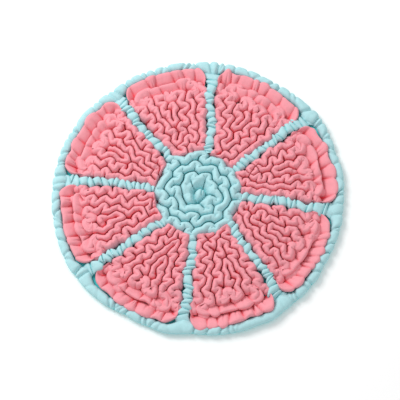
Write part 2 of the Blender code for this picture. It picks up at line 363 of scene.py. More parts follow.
def settle(lines, feet, kinds):
    strip = np.repeat(np.arange(len(lines)), [len(line) for line in lines])
    order = np.concatenate([np.arange(len(line)) for line in lines])
    points, foot = np.concatenate(lines), np.concatenate(feet)
    sizes = np.concatenate([gather_sizes(place, kind) for place, kind in zip(feet, kinds)])
    thick, full, reach, stiff = sizes[:, (2, 4, 5, 6)].T
    count = len(points)
    link = np.where(strip[1:] == strip[:-1])[0]
    middle = np.where(strip[2:] == strip[:-2])[0] + 1
    wide = np.where(strip[4:] == strip[:-4])[0] + 2
    length = np.linalg.norm(points[link + 1] - points[link], axis=1)
    still = np.array([kind == "spoke" for kind in kinds])[strip]
    held = points.copy()
    grown = np.ones(len(link))
    pressure = np.zeros(count)
    for turn in range(ROUNDS):
        if turn % PAIR_REFRESH == 0:
            a, b = close_pairs(points, PAIR_REACH).T
            apart = (strip[a] != strip[b]) | (np.abs(order[a] - order[b]) >= NEAR_ON_LINE)
            a, b = a[apart], b[apart]
        room = pressure[link] + pressure[link + 1] < FULL_PRESSURE
        grown *= 1 + GROWTH * (room & (grown < full[link]) & (turn < GROWTH_ROUNDS))
        for _ in range(LENGTH_PASSES):
            edge = points[link + 1] - points[link]
            now = np.linalg.norm(edge, axis=1) + 1e-12
            move = edge * ((now - length * grown) / now * LENGTH_PULL)[:, None]
            points += spread(link, move, count) - spread(link + 1, move, count)
        gap = points[b] - points[a]
        distance = np.linalg.norm(gap, axis=1) + 1e-9
        swollen = min(1.0, THINNEST + (1 - THINNEST) * turn / SWELL_ROUNDS)
        overlap = np.maximum(0, swollen * (thick[a] + thick[b]) / 2 - distance)
        pressure = (np.bincount(a, overlap, count) + np.bincount(b, overlap, count)) / (thick * swollen)
        move = gap * (overlap * PUSH / distance)[:, None]
        points += np.clip(spread(b, move, count) - spread(a, move, count), -WIDEST_PUSH, WIDEST_PUSH)
        sag = (points[middle - 1] + points[middle + 1]) / 2 - points[middle]
        points[middle] += sag * (stiff[middle] * SAG)[:, None]
        near, far = points[wide - 1] + points[wide + 1], points[wide - 2] + points[wide + 2]
        points[wide] += (4 * near - far - 6 * points[wide]) / 16 * stiff[wide][:, None]
        away = points - foot
        distance = np.linalg.norm(away, axis=1) + 1e-12
        points -= away * (np.maximum(0, distance - reach) / distance / 2 + FOOT_PULL)[:, None]
        points[still] = held[still]
    return [points[strip == number] for number in range(len(lines))]


folds = settle(lines, feet, kinds)

# %% [markdown]
# ## Stand the folds up
#
# Each strip stands between its foot on the base cloth and its fold at the top. Near the rim the
# rows lie outwards like shingles, so the top is moved out and down there, and a wave that swings
# out also hangs lower than one that swings in. The rosette's folds lean out a little and stand
# lower round its cup.

# %% Lean and height of the folds
BASE_TOP = 0.0033
FOLD_HEIGHT = 0.029
LEAN = 0.022
LEAN_RADII = (0.165, 0.180, 0.196, 0.215, 0.235)
LEAN_SHARES = (0.0, 0.08, 0.34, 0.86, 1.0)
CORNER_FROM_DEG = 11.0
CORNER_DEG = 8.0
CORNER_LEAN = 0.45
INNER_LEAN = 0.0050
INNER_LEAN_BLEND = 0.022
DROP = 0.011
TILT = 0.55
FLATTEN = 0.40
PUFF = 0.006
ROSETTE_RADII = (0.0085, 0.020, 0.029, 0.0495, 0.070)
ROSETTE_LEAN = (0.0, 0.003, 0.007, 0.006, 0.0075)
ROSETTE_TILT = 0.4
ROSETTE_TILT_FROM = 0.02
ROSETTE_TILT_BLEND = 0.01
ROSETTE_CUP_RADII = (0.0, 0.010, 0.022, 0.034, 0.050, 0.072)
ROSETTE_CUP_DROP = (0.0, -0.001, -0.005, -0.001, 0.0, -0.002)
SPOKE_END_RADIUS = 0.214
SPOKE_END_BLEND = 0.038
SPOKE_END_LEAN = 0.012
SPOKE_END_DROP = 0.010
HIGHEST_RISE = 0.004


def petal_axis(name):
    """The bearing of a petal's middle, in degrees."""
    number = int(name.split("_")[1])
    ends = spoke_ends(SPOKES[number - 1])[1] + spoke_ends(SPOKES[number % len(SPOKES)])[1]
    return math.degrees(math.atan2(ends[1], ends[0]))


def stand_up(fold, foot, name):
    """The lean and wave of a fold's tops, their heights, and how far the inner face puffs out."""
    radius = np.maximum(np.linalg.norm(foot, axis=1), 1e-6)
    outward = foot / radius[:, None]
    share, lean = np.zeros(len(fold)), np.zeros(len(fold))
    height = np.full(len(fold), FOLD_HEIGHT)
    if name.startswith("petal"):
        bearing = np.degrees(np.arctan2(foot[:, 1], foot[:, 0]))
        aside = np.abs((bearing - petal_axis(name) + 180) % 360 - 180)
        share = np.interp(radius, LEAN_RADII, LEAN_SHARES)
        lean = LEAN * share * (1 - CORNER_LEAN * smooth_step((aside - CORNER_FROM_DEG) / CORNER_DEG))
        lean = lean + INNER_LEAN * (1 - smooth_step((radius - PETAL_INNER_RADIUS) / INNER_LEAN_BLEND))
    elif name.startswith("spoke"):
        end = smooth_step((radius - SPOKE_END_RADIUS) / SPOKE_END_BLEND)
        lean = SPOKE_END_LEAN * end
        height = height - SPOKE_END_DROP * end
    else:
        lean = np.interp(radius, ROSETTE_RADII, ROSETTE_LEAN)
        height = height + np.interp(radius, ROSETTE_CUP_RADII, ROSETTE_CUP_DROP)
        share = ROSETTE_TILT * smooth_step((radius - ROSETTE_TILT_FROM) / ROSETTE_TILT_BLEND)
    swing = ((fold - foot) * outward).sum(axis=1)
    height = height - (DROP * share if name.startswith("petal") else 0) - TILT * share * swing
    shift = outward * lean[:, None]
    wave = fold - foot - outward * (swing * FLATTEN * share)[:, None]
    return shift, wave, np.minimum(height, FOLD_HEIGHT + HIGHEST_RISE), -outward * (PUFF * share)[:, None]


# %% [markdown]
# Where the rows begin to lie down, a fold is swept along its line, and folds that are packed
# together fill all the room between them. So each side of a fold is made as wide as the room that
# it has: the distance, straight out from the fold's middle, to the line halfway to the nearest
# other stretch of fold.

# %% Room beside each fold
SWEEP_STEP = 0.0016
CLEARANCE_REACH = 0.022
CLEARANCE_SKIP = 7


def hann_all(table, half):
    return np.stack([hann_smooth(column, half) for column in table.T], axis=1)


def even_line(fold, foot):
    path = along(fold)
    even = np.linspace(0, path[-1], int(path[-1] / SWEEP_STEP))
    table = hann_all(at_distance(fold, even, np.column_stack([fold, foot])), 2)
    return table[:, :2], table[:, 2:]


def rooms(folds):
    """For each fold line, the room on its left and on its right."""
    strip = np.repeat(np.arange(len(folds)), [len(fold) for fold in folds])
    order = np.concatenate([np.arange(len(fold)) for fold in folds])
    points = np.concatenate(folds)
    side = np.concatenate([side_normals(fold) for fold in folds])
    a, b = close_pairs(points, CLEARANCE_REACH).T
    apart = (strip[a] != strip[b]) | (np.abs(order[a] - order[b]) >= CLEARANCE_SKIP)
    a, b = np.concatenate([a[apart], b[apart]]), np.concatenate([b[apart], a[apart]])
    gap = points[b] - points[a]
    across = (gap * side[a]).sum(axis=1)
    halfway = (gap**2).sum(axis=1) / (2 * np.abs(across) + 1e-9)
    left, right = np.full(len(points), 1.0), np.full(len(points), 1.0)
    np.minimum.at(left, a[across > 0], halfway[across > 0])
    np.minimum.at(right, a[across < 0], halfway[across < 0])
    return [(left[strip == number], right[strip == number]) for number in range(len(folds))]


even_lines = [even_line(fold, foot) for fold, foot in zip(folds, feet)]
leaned = []
for name, (fold, foot) in zip(names, even_lines):
    shift, wave, _, _ = stand_up(fold, foot, name)
    leaned.append(foot + shift + wave)
fold_rooms = rooms(leaned)
middle_room = float(np.median(np.concatenate([left for left, _ in fold_rooms])))
print("median room beside a fold, mm:", round(middle_room * 1000, 1))

# %% [markdown]
# ## Folds that meet in creases
#
# Upright folds that are packed together show only their soft tops, and press against each other
# all the way down. A sweep along each fold leaves gaps or cuts through its neighbour. So the tops
# are made as one surface instead: each point of a fine grid belongs to the fold that is nearest,
# stands as high as that fold, and sinks into a crease where two folds are equally near.
#
# Two neighbouring points of one fold are always about equally near, and must not part in a
# crease. So a crease needs a strip that folds back: the way along the strip has to be clearly
# longer than the straight way across. Between two turns of the strip the crease is narrower.

# %% Creases between folds
FOLDED_BACK = 1.35
FOLDED_BACK_FROM = 0.0035
FOLDED_BACK_BLEND = 0.45
ROW_ROUND_TRIP = 0.11
ROW_CREASE = 0.60


def crease_scale(tops, path):
    """For each pair of points, twice their distance if the strip folds back between them, else 0."""
    straight = np.linalg.norm(tops[:, None, :] - tops[None, :, :], axis=2)
    round_trip = np.abs(path[:, None] - path[None, :])
    back = (round_trip / (FOLDED_BACK * straight + FOLDED_BACK_FROM) - 1) / FOLDED_BACK_BLEND
    thinner = np.where(round_trip > ROW_ROUND_TRIP, ROW_CREASE, 1.0)
    return 2 * straight * thinner * np.clip(back, 0, 1) + 1e-12


# %% [markdown]
# In a sharp bend the cloth on the inner side has no room and is pinched. Each such pinch is a
# short valley, straight in from the sharpest point of the bend. A bend shows as a peak in how
# fast the line turns, so the pinches need no list of places.

# %% Pinches in the bends
PUCKER_APART = 4
PUCKER_FROM = 55.0
PUCKER_FULL = 110.0
FAINTEST_PUCKER = 0.3


def puckers(tops, path):
    """The pinches on the inner sides of bends: how far off, which side and how strong at each point."""
    turning = hann_smooth(bend(tops), 1)
    sharp = np.abs(turning)
    window = np.stack([np.roll(sharp, shift) for shift in range(-PUCKER_APART, PUCKER_APART + 1)])
    peaks = np.flatnonzero((sharp >= window.max(axis=0)) & (sharp > PUCKER_FROM))
    nearest = np.abs(path[:, None] - path[peaks]).argmin(axis=1)
    chosen = peaks[nearest]
    strong = np.clip((sharp[chosen] - PUCKER_FROM) / PUCKER_FULL, FAINTEST_PUCKER, 1)
    return path - path[chosen], np.sign(turning[chosen]), strong


# %% [markdown]
# The rosette ends in an open cup, whose faces slope in to a bud: the rolled end of the strip. A
# tight spiral to the centre would be simpler, but would hide both. So the strip's inner end is
# left out of the folds, the innermost fold reaches further inwards, which makes the faces, and
# the bud is a small egg with a groove where the roll ends, in a hollow of its own.

# %% The rosette's cup and bud
# How far the painted shade reaches out from a crease or from the bud's foot.
SHADE_WIDTH = 0.0017
CUP_TAIL_RADIUS = 0.0190
CUP_REACH = 0.0240
CUP_FROM = 0.0200
CUP_BLEND = 0.0080
CUP_SLIT = 0.50
CUP_CREASE = 0.0050
# Painted shade down the cup's faces.
CUP_SHADE = 0.42
BUD_CENTRE = (0.0030, -0.0010)
BUD_HALF_LENGTH = 0.0145
BUD_HALF_WIDTH = 0.0102
BUD_POINTED = 0.35
BUD_DEG = 68
BUD_HEIGHT = 0.0275
# Painted shade round the bud's foot, in its groove and in its hollow.
BUD_FOOT_SHADE = 0.6
GROOVE_ASIDE = 0.0035
GROOVE_SLANT = 0.25
GROOVE_WIDTH = 0.0012
GROOVE_FROM = -0.002
GROOVE_SINK = 0.0045
GROOVE_SHADE = 0.7
HOLLOW_SINK = 0.0110
HOLLOW_WIDTH = 1.1
HOLLOW_SHADE = 0.75


def cup_share(radius, kind):
    """1 in the rosette's cup and 0 outside it."""
    if kind != "rosette":
        return np.zeros(len(radius))
    return 1 - smooth_step((radius - CUP_FROM) / CUP_BLEND)


def bud(points):
    """How far out on the bud each point is, from 0 in its middle to 1 at its foot, and its groove."""
    onward = polar(1.0, BUD_DEG)
    away = points - np.array(BUD_CENTRE)
    lengthways = away @ onward
    across = away @ np.array([-onward[1], onward[0]])
    pointed = 1 - BUD_POINTED * np.clip(-lengthways / BUD_HALF_LENGTH, 0, 1)
    out = np.hypot(lengthways / BUD_HALF_LENGTH, across / (BUD_HALF_WIDTH * pointed))
    off_groove = across + GROOVE_ASIDE - GROOVE_SLANT * lengthways
    return out, np.exp(-((off_groove / GROOVE_WIDTH) ** 2)) * (lengthways > GROOVE_FROM)


def add_bud(points, level, depth, away):
    """The heights and painted shade with the bud standing in its hollow, shaded round its foot, in its
    groove and in the hollow.
    """
    out, groove = bud(points)
    dome = (BUD_HEIGHT - BASE_TOP) * (1 - np.clip(out, 0, 1) ** 2) ** 0.5 - GROOVE_SINK * groove
    # Painted shade round the bud's foot, in its groove and in the hollow round it.
    foot = np.exp(-np.abs(out - 1) * BUD_HALF_WIDTH / np.where(out < 1, SHADE_WIDTH, 2 * SHADE_WIDTH))
    on_bud = np.maximum(BUD_FOOT_SHADE * foot, GROOVE_SHADE * groove)
    depth = np.where(out < 1, on_bud, np.maximum(depth, HOLLOW_SHADE * foot))
    low = level - HOLLOW_SINK * (1 - smooth_step((out - 1) / HOLLOW_WIDTH))
    return np.where(out < 1, np.maximum(low, dome), low), depth, np.where(out < 1, 0, away)


# %% [markdown]
# Now the surface itself. At each point of the grid, the nearest fold gives the height, which
# rounds off away from the fold. A crease is a soft valley with a narrow slit in it, where two
# folds press together. How deep it goes wanders along the fold, because hands made the gathers.
# The same numbers give each point a painted shade, darker in the creases, pinches and cup and
# down the flanks, which the material turns into its colour.

# %% Heights between the creases
GRID_STEP = 0.0008
GRID_CHUNK = 3000
FOLD_REACH = {"petal": 0.0097, "rosette": 0.0116}
CROWN_POWER = {"petal": 2.0, "rosette": 1.7}
CREASE_ROUND = {"petal": 0.0064, "rosette": 0.0062}
CREASE_SLIT = 0.025
SLIT_FROM = 0.0010
SLIT_TO = 0.0005
SHALLOWEST_SLIT = 0.45
CREASE_UNEVEN = 0.55
CREASE_UNEVEN_LENGTH = 0.012
PUCKER_WIDTH = 0.0016
PUCKER_LENGTH = 0.0045
PUCKER_POWER = 1.3
PUCKER_SPILL = 0.08
PUCKER_SINK = 0.0050
# Painted shade in a pinch.
PUCKER_SHADE = 0.6
PETAL_CLEAR_RADIUS = 0.0770
PETAL_CLEAR_BLEND = 0.0060
# Painted shade: how much darker the colour is painted in a crease and down a fold's flank, and the darkest
# it may be.
CREASE_SHADE = 0.43
FLANK_SHADE = 0.15
DARKEST = 0.45
Crest = namedtuple("Crest", "tops height strength normal offset inner_side pinch")


def uneven(count, step, length, size):
    """A smooth random wander along a line."""
    knots = max(4, int(count * step / length) + 2)
    values = np.interp(np.linspace(0, knots - 1, count), np.arange(knots), randoms.uniform(-1, 1, knots))
    return hann_smooth(values, max(1, int(length / step / 2))) * size


def heights_over(part, crest, scale, kind):
    """The height above the base, how much painted shade each point gets from creases, pinches and the cup,
    and the share of the reach at each point.
    """
    square_from_middle = (part**2).sum(axis=1)
    square = square_from_middle[:, None] + (crest.tops**2).sum(axis=1) - 2 * part @ crest.tops.T
    nearest = square.argmin(axis=1)
    least = np.maximum(square.min(axis=1), 0)
    fold = Crest(*(values[nearest] for values in crest))
    in_cup = cup_share(np.sqrt(square_from_middle), kind)
    reach = FOLD_REACH[kind] + (CUP_REACH - FOLD_REACH[kind]) * in_cup
    near = least < reach**2
    beside = np.full(len(part), 1.0)
    beside[near] = ((square[near] - least[near, None] + 1e-9) / scale[nearest[near]]).min(axis=1)
    rounding = CREASE_ROUND[kind] + CUP_CREASE * in_cup
    within = np.clip(1 - beside / rounding, 0, 1)
    sink = rounding * (1 - np.sqrt(1 - within**2)) * fold.strength
    slit = CREASE_SLIT * np.clip(fold.strength, SHALLOWEST_SLIT, 1) * (1 - (1 - CUP_SLIT) * in_cup)
    sink += slit * np.clip((SLIT_FROM - beside) / (SLIT_FROM - SLIT_TO), 0, 1)
    off = part - fold.tops
    across = (off * fold.normal).sum(axis=1) * fold.inner_side
    onward = off[:, 0] * fold.normal[:, 1] - off[:, 1] * fold.normal[:, 0]
    pucker = np.exp(-(np.abs(fold.offset + onward) / PUCKER_WIDTH) ** PUCKER_POWER) * fold.pinch
    pucker *= np.clip(across / PUCKER_LENGTH + PUCKER_SPILL, 0, 1)
    sink += PUCKER_SINK * pucker
    crown = (1 - np.clip(np.sqrt(least) / reach, 0, 1) ** CROWN_POWER[kind]) ** 0.5
    if kind == "petal":
        crown *= smooth_step((np.sqrt(square_from_middle) - PETAL_CLEAR_RADIUS) / PETAL_CLEAR_BLEND)
    # Painted shade: darker near a crease, in a pinch, and down the cup's faces.
    depth = np.exp(-beside / SHADE_WIDTH) * fold.strength + PUCKER_SHADE * pucker
    depth += CUP_SHADE * in_cup * (least / reach**2)
    return (fold.height - BASE_TOP) * crown - sink, depth, np.sqrt(least) / reach


def grid_faces(cloth):
    """The grid's points that are used, and the squares between them, where all four are cloth."""
    columns, rows = cloth.shape
    faces = cloth[:-1, :-1] & cloth[1:, :-1] & cloth[:-1, 1:] & cloth[1:, 1:]
    corner = (np.arange(columns - 1)[:, None] * rows + np.arange(rows - 1))[faces]
    quads = np.stack([corner, corner + rows, corner + rows + 1, corner + 1], axis=1)
    used, quads = np.unique(quads, return_inverse=True)
    return used, quads.reshape(-1, 4)


def fold_field(tops, path, height, kind):
    """A surface over the folds: its points, its faces and the shade of each point."""
    reach = FOLD_REACH[kind]
    low, high = tops.min(axis=0) - reach - GRID_STEP, tops.max(axis=0) + reach + GRID_STEP
    columns, rows = (np.ceil((high - low) / GRID_STEP)).astype(int) + 1
    grid = np.stack(np.meshgrid(np.arange(columns), np.arange(rows), indexing="ij"), axis=2).reshape(-1, 2)
    grid = low + grid * GRID_STEP
    scale = crease_scale(tops, path)
    strength = 1 + uneven(len(tops), SWEEP_STEP, CREASE_UNEVEN_LENGTH, CREASE_UNEVEN)
    crest = Crest(tops, height, strength, side_normals(tops), *puckers(tops, path))
    if kind == "rosette":
        kept = slice(0, np.flatnonzero(np.linalg.norm(tops, axis=1) > CUP_TAIL_RADIUS)[-1] + 1)
        crest, scale = Crest(*(values[kept] for values in crest)), scale[kept, kept]
    parts = [grid[start:start + GRID_CHUNK] for start in range(0, len(grid), GRID_CHUNK)]
    rows_made = zip(*(heights_over(part, crest, scale, kind) for part in parts))
    level, depth, away = (np.concatenate(values) for values in rows_made)
    if kind == "rosette":
        level, depth, away = add_bud(grid, level, depth, away)
    level = BASE_TOP + np.maximum(level, 0)
    used, quads = grid_faces((away < 1).reshape(columns, rows))
    # Painted shade: darker in creases, pinches and the cup and down a fold's flanks, never darker than
    # DARKEST.
    shade = np.clip(1 - CREASE_SHADE * depth - FLANK_SHADE * away**2, DARKEST, 1)
    return np.column_stack([grid, level])[used], quads, shade[used]


# %% [markdown]
# ## Pleats near the rim
#
# The petals' outer rows don't stand up: they lie outwards over each other, and show their inner
# faces as soft panels. Gathers leave a crease between two panels, deep at the stitches and nearly
# gone at the fold. So these rows get a section of their own that leans over, and the creases sink
# it. Each panel has its own width, height and slant, because hands made it.

# %% Panels and creases along a seam
PANEL_LENGTH = 0.0205
PANEL_UNEVEN = 0.48
PANEL_SLANT = 0.0105
PANEL_LIFT = 0.0042
PANEL_SCALLOP = 0.0044
PANEL_FLATNESS = 2.6
PANEL_ROUND = 0.55
Panels = namedtuple("Panels", "edges lift reach slant")


def cut_panels(length, panel_length, slant):
    """Where the creases are along a seam, and how each panel differs from its neighbours."""
    count = int(length / panel_length * 1.5) + 4
    widths = panel_length * (1 + PANEL_UNEVEN * randoms.uniform(-1, 1, count))
    edges = np.append(0, np.cumsum(widths)) - panel_length
    lift, reach = randoms.uniform(-1, 1, (2, count))
    return Panels(edges, lift, reach, slant * randoms.uniform(-1, 1, count + 1))


def panel_swell(distance, share, panels):
    """0 in the creases and 1 on the middle of a panel, and which panel each point is on."""
    edges = panels.edges + panels.slant * (1 - share)
    index = np.clip(np.searchsorted(edges, distance, side="right") - 1, 0, len(edges) - 2)
    within = (distance - edges[index]) / (edges[index + 1] - edges[index])
    within = np.clip(within, 0, 1)
    return (1 - np.abs(2 * within - 1) ** PANEL_FLATNESS) ** PANEL_ROUND, within, index


# %% [markdown]
# A pleat lies out until it meets something: the next row's stitches, a spoke or the rim. It
# could have one length everywhere, but then it would cut through a spoke in one place and leave
# the base bare in another. So its reach is measured at each stitch.

# %% Reach of the pleats
ROW_OVERLAP = 0.0025
ROW_AHEAD = 0.008
ROW_ASIDE = 0.0025
SPOKE_HALF_WIDTH = 0.0078
WEDGE_HALF_WIDTH = 0.0090
WEDGE_FROM_RADIUS = 0.212
WEDGE_LENGTH = 0.040
LEAST_CLOSING = 0.3
PLEAT_FROM_EDGE = 0.0132
SHORTEST_PLEAT = 0.006
LONGEST_PLEAT = 0.0262
REACH_SMOOTHING = 12


def pleat_reach(foot, outward):
    """How far each pleat can lie out: to the next row's stitches, the rim or a spoke."""
    steps = foot[None, :, :] - foot[:, None, :]
    ahead = (steps * outward[:, None, :]).sum(axis=2)
    aside = np.abs(steps[:, :, 0] * outward[:, None, 1] - steps[:, :, 1] * outward[:, None, 0])
    ahead[(ahead < ROW_AHEAD) | (aside > ROW_ASIDE)] = 1.0
    reach = ahead.min(axis=1) + ROW_OVERLAP
    for spoke in SPOKES:
        near, far = spoke_ends(spoke)
        line = (far - near) / np.linalg.norm(far - near)
        normal = np.array([-line[1], line[0]])
        clear, closing = (near - foot) @ normal, outward @ normal
        hit = clear / np.where(np.abs(closing) < 1e-6, 1e-6, closing)
        place = foot + outward * hit[:, None]
        forward = (hit > 0) & ((place - near) @ line > 0)
        wedge = smooth_step((np.linalg.norm(place, axis=1) - WEDGE_FROM_RADIUS) / WEDGE_LENGTH)
        wide = SPOKE_HALF_WIDTH + WEDGE_HALF_WIDTH * wedge
        room = hit - wide / np.maximum(np.abs(closing), LEAST_CLOSING)
        reach = np.where(forward, np.minimum(reach, room), reach)
    towards = (foot * outward).sum(axis=1)
    bearings = np.arctan2(foot[:, 1], foot[:, 0])
    edge = rim_reach(bearings) - PLEAT_FROM_EDGE
    to_rim = np.sqrt(np.maximum(0, towards**2 - (foot**2).sum(axis=1) + edge**2)) - towards
    return hann_smooth(np.clip(np.minimum(reach, to_rim), SHORTEST_PLEAT, LONGEST_PLEAT), REACH_SMOOTHING)


# %% [markdown]
# The section of a pleat goes up its inner face, round the fold's edge and back underneath. A
# crease sinks each of its points by its own amount and pulls it in, most on the inner face. Some
# panels also have a half crease, which starts at the stitches and soon fades.

# %% Section of the pleats
PLEAT_OUTWARD = 0.5
PLEAT_SMOOTHING = 9
PLEAT_FULL_LIFT = 0.02
HALF_CREASE = 0.55
HALF_CREASE_WIDTH = 0.07
HALF_CREASE_FADE = 1.6
HALF_CREASE_FROM = 0.1
# Painted shade on the pleats: darker low down and in the creases, less so towards the fold's edge.
PLEAT_LOW_SHADE = 0.70
PLEAT_TOP = 0.021
PLEAT_CREASE_SHADE = 0.42
PLEAT_SHADE_FADE = 0.55
DARKEST_PLEAT = 0.3
# Inner face, fold edge and underside: outwards, up, how deep a crease sinks, how far it pulls in.
PLEAT_SECTION = (
    (-0.0060, 0.0033, 0.0000, 0.0000), (0.0000, 0.0066, 0.0020, 0.0000), (0.0018, 0.0100, 0.0055, 0.0000),
    (0.0045, 0.0130, 0.0080, 0.0000), (0.0080, 0.0158, 0.0092, 0.0000), (0.0120, 0.0184, 0.0090, 0.0001),
    (0.0160, 0.0205, 0.0078, 0.0004), (0.0197, 0.0217, 0.0060, 0.0010), (0.0224, 0.0210, 0.0042, 0.0018),
    (0.0240, 0.0186, 0.0026, 0.0023), (0.0246, 0.0150, 0.0012, 0.0025), (0.0240, 0.0118, 0.0, 0.0023),
    (0.0222, 0.0094, 0.0, 0.0018), (0.0195, 0.0078, 0.0, 0.0012), (0.0165, 0.0068, 0.0, 0.0008),
    (0.0135, 0.0062, 0.0, 0.0004), (0.0110, 0.0056, 0.0, 0.0), (0.0090, 0.0052, 0.0, 0.0),
    (0.0075, 0.0046, 0.0, 0.0), (0.0065, 0.0040, 0.0, 0.0), (0.0060, 0.0033, 0.0, 0.0),
)
FOLD_EDGE = PLEAT_SECTION[10][0]


def pleat_rings(foot, panels):
    """Rows of points across the pleats, from the inner stitches over the fold to the outer ones."""
    radius = np.linalg.norm(foot, axis=1)
    outward = PLEAT_OUTWARD * foot / radius[:, None] - side_normals(hann_all(foot, PLEAT_SMOOTHING))
    outward /= np.maximum(np.linalg.norm(outward, axis=1), 1e-6)[:, None]
    longer = pleat_reach(foot, outward) / FOLD_EDGE
    distance = along(foot)
    rings, shades = [], []
    for out, up, sink, pull in PLEAT_SECTION:
        share = min(1.0, max(0.0, out / FOLD_EDGE))
        swell, within, panel = panel_swell(distance, share, panels)
        bulge = np.sin(math.pi * within)
        lift = panels.lift[panel] * PANEL_LIFT * bulge * (up - BASE_TOP) / PLEAT_FULL_LIFT
        reach = panels.reach[panel] * PANEL_SCALLOP * bulge * share
        half = np.exp(-(((within - 0.5) / HALF_CREASE_WIDTH) ** 2)) * sink * HALF_CREASE
        half = half * max(0.0, 1 - HALF_CREASE_FADE * share) * (panels.lift[panel] > HALF_CREASE_FROM)
        plan = foot + outward * (out * longer + reach - pull * (1 - swell))[:, None]
        rings.append(np.column_stack([plan, up + lift - sink * (1 - swell) - half]))
        # Painted shade: darker low on the section and in the creases, less so towards the fold's edge.
        shade = PLEAT_LOW_SHADE + (1 - PLEAT_LOW_SHADE) * min(1.0, up / PLEAT_TOP)
        shade = shade - PLEAT_CREASE_SHADE * (1 - swell) * (1 - PLEAT_SHADE_FADE * share)
        shades.append(np.clip(shade, DARKEST_PLEAT, 1))
    return rings, shades


# %% [markdown]
# Between the upright folds and the pleats a strip has to change from one into the other. There
# it is swept as a doubled cloth: thin at the stitches, widest below the fold, and round on top.
# In a tight bend the inner side has no room, so its width is held to the bend's radius. The
# swept section then turns into the pleat's section, point by point.

# %% Sweep the outer rows
FULLEST = 2.1
OVERLAP = 1.14
SLIMMEST = 0.80
BEND_ROOM = 0.85
END_THIN = 0.4
WAVE_RISE = 0.55
PUFF_RISE = 1.05
PUFF_POWER = 1.5
FLANGE = 0.0075
FOOT_SMOOTHING = 6
# Each pair is a share of the half thickness and a share of the height, from foot to fold.
SECTION_SIDE = (
    (1.00, 0.00), (0.56, 0.05), (0.42, 0.16), (0.64, 0.38), (0.90, 0.60), (1.02, 0.76), (1.00, 0.86),
    (0.90, 0.935), (0.66, 0.978), (0.34, 0.997),
)
SECTION = [(x, z) for x, z in SECTION_SIDE] + [(0.0, 1.0)] + [(-x, z) for x, z in SECTION_SIDE[::-1]]


def fold_widths(half, room, ends, turning):
    """The widths to the left and right of a fold, which fill its room but not its bends."""
    bend_room = BEND_ROOM / np.maximum(np.abs(turning), 1.0)
    widths = []
    for sign, free in zip((1, -1), room):
        wide = np.clip(free * OVERLAP, half * SLIMMEST, half * FULLEST)
        wide = hann_smooth(wide, 3) * (END_THIN + (1 - END_THIN) * ends)
        wide = np.where(sign * turning > 0, np.minimum(wide, bend_room), wide)
        widths.append(hann_smooth(wide, 1))
    return widths


def outer_rings(foot, stood, height, widths, pleated, panels):
    """Rows of points across a petal's strip, and the shade of each, where it goes over to pleats."""
    lean, wave, puff = stood
    side, seam_side = side_normals(foot + lean + wave), side_normals(hann_all(foot, FOOT_SMOOTHING))
    rings, shades = [], []
    for (share, rise_and_painted_shade), pleat, shade in zip(SECTION, *pleat_rings(foot, panels)):
        width = share * widths[0 if share > 0 else 1]
        plan = foot + lean * rise_and_painted_shade + wave * rise_and_painted_shade**WAVE_RISE + side * width[:, None]
        if share > 0:
            plan = plan + puff * math.sin(math.pi * min(1.0, rise_and_painted_shade * PUFF_RISE)) ** PUFF_POWER
        if rise_and_painted_shade == 0:
            plan = foot + seam_side * (FLANGE * np.sign(share))
        ring = np.column_stack([plan, BASE_TOP + (height - BASE_TOP) * rise_and_painted_shade])
        rings.append(ring * (1 - pleated)[:, None] + pleat * pleated[:, None])
        # Painted shade: the upright part is painted darker towards its foot, by its share of the height.
        shades.append(rise_and_painted_shade * (1 - pleated) + shade * pleated)
    return rings, shades


# %% [markdown]
# Every piece of this mat is made from points, faces and a shade for each point. A custom
# attribute carries the shade to the material, because it stays with the points and needs no UV
# map or image. Pieces that are made in parts, such as a petal's pleats and its upright folds, are
# joined before Blender sees them.

# %% Turn points and faces into a piece
SHORTEST_RUN = 5


def runs(chosen):
    """The first and last index of each unbroken stretch."""
    edges = np.flatnonzero(np.diff(np.concatenate([[0], chosen.astype(int), [0]])))
    return [(first, last) for first, last in zip(edges[::2], edges[1::2]) if last - first >= SHORTEST_RUN]


def swept(rings, shades, first, last):
    """The points, faces and shades of the rings from one index to another."""
    table, shade = np.stack(rings, axis=1)[first:last], np.stack(shades, axis=1)[first:last]
    size, across = shade.shape
    corner = (np.arange(size - 1)[:, None] * across + np.arange(across - 1)).ravel()
    faces = np.stack([corner, corner + across, corner + across + 1, corner + 1], axis=1)
    return table.reshape(-1, 3), faces, shade.ravel()


def joined(parts):
    """Several sets of points, faces and shades as one."""
    starts = np.cumsum([0] + [len(points) for points, _, _ in parts[:-1]])
    moved = [faces + start for start, (_, faces, _) in zip(starts, parts)]
    points, _, shade = zip(*parts)
    return np.concatenate(points), np.concatenate(moved), np.concatenate(shade)


def new_piece(name, points, faces, shade):
    mesh = bpy.data.meshes.new(name)
    mesh.from_pydata(points.tolist(), [], faces)
    # The shade goes on each point as painted shade: where it is low, the material paints the colour darker
    # and richer.
    rise_and_painted_shade = mesh.attributes.new("rise_and_painted_shade", "FLOAT", "POINT")
    rise_and_painted_shade.data.foreach_set("value", shade.astype(np.float32))
    mesh.polygons.foreach_set("use_smooth", [True] * len(mesh.polygons))
    piece = bpy.data.objects.new(name, mesh)
    bpy.context.scene.collection.objects.link(piece)
    return piece


# %% [markdown]
# ## Ruched spokes
#
# A spoke is gathered along its middle, so it is a soft round band with a crease across it about
# every twelve millimetres. The creases come in from one side or the other by turns, which makes the
# band wander a little. At the rim it widens and lies down to meet the binding.

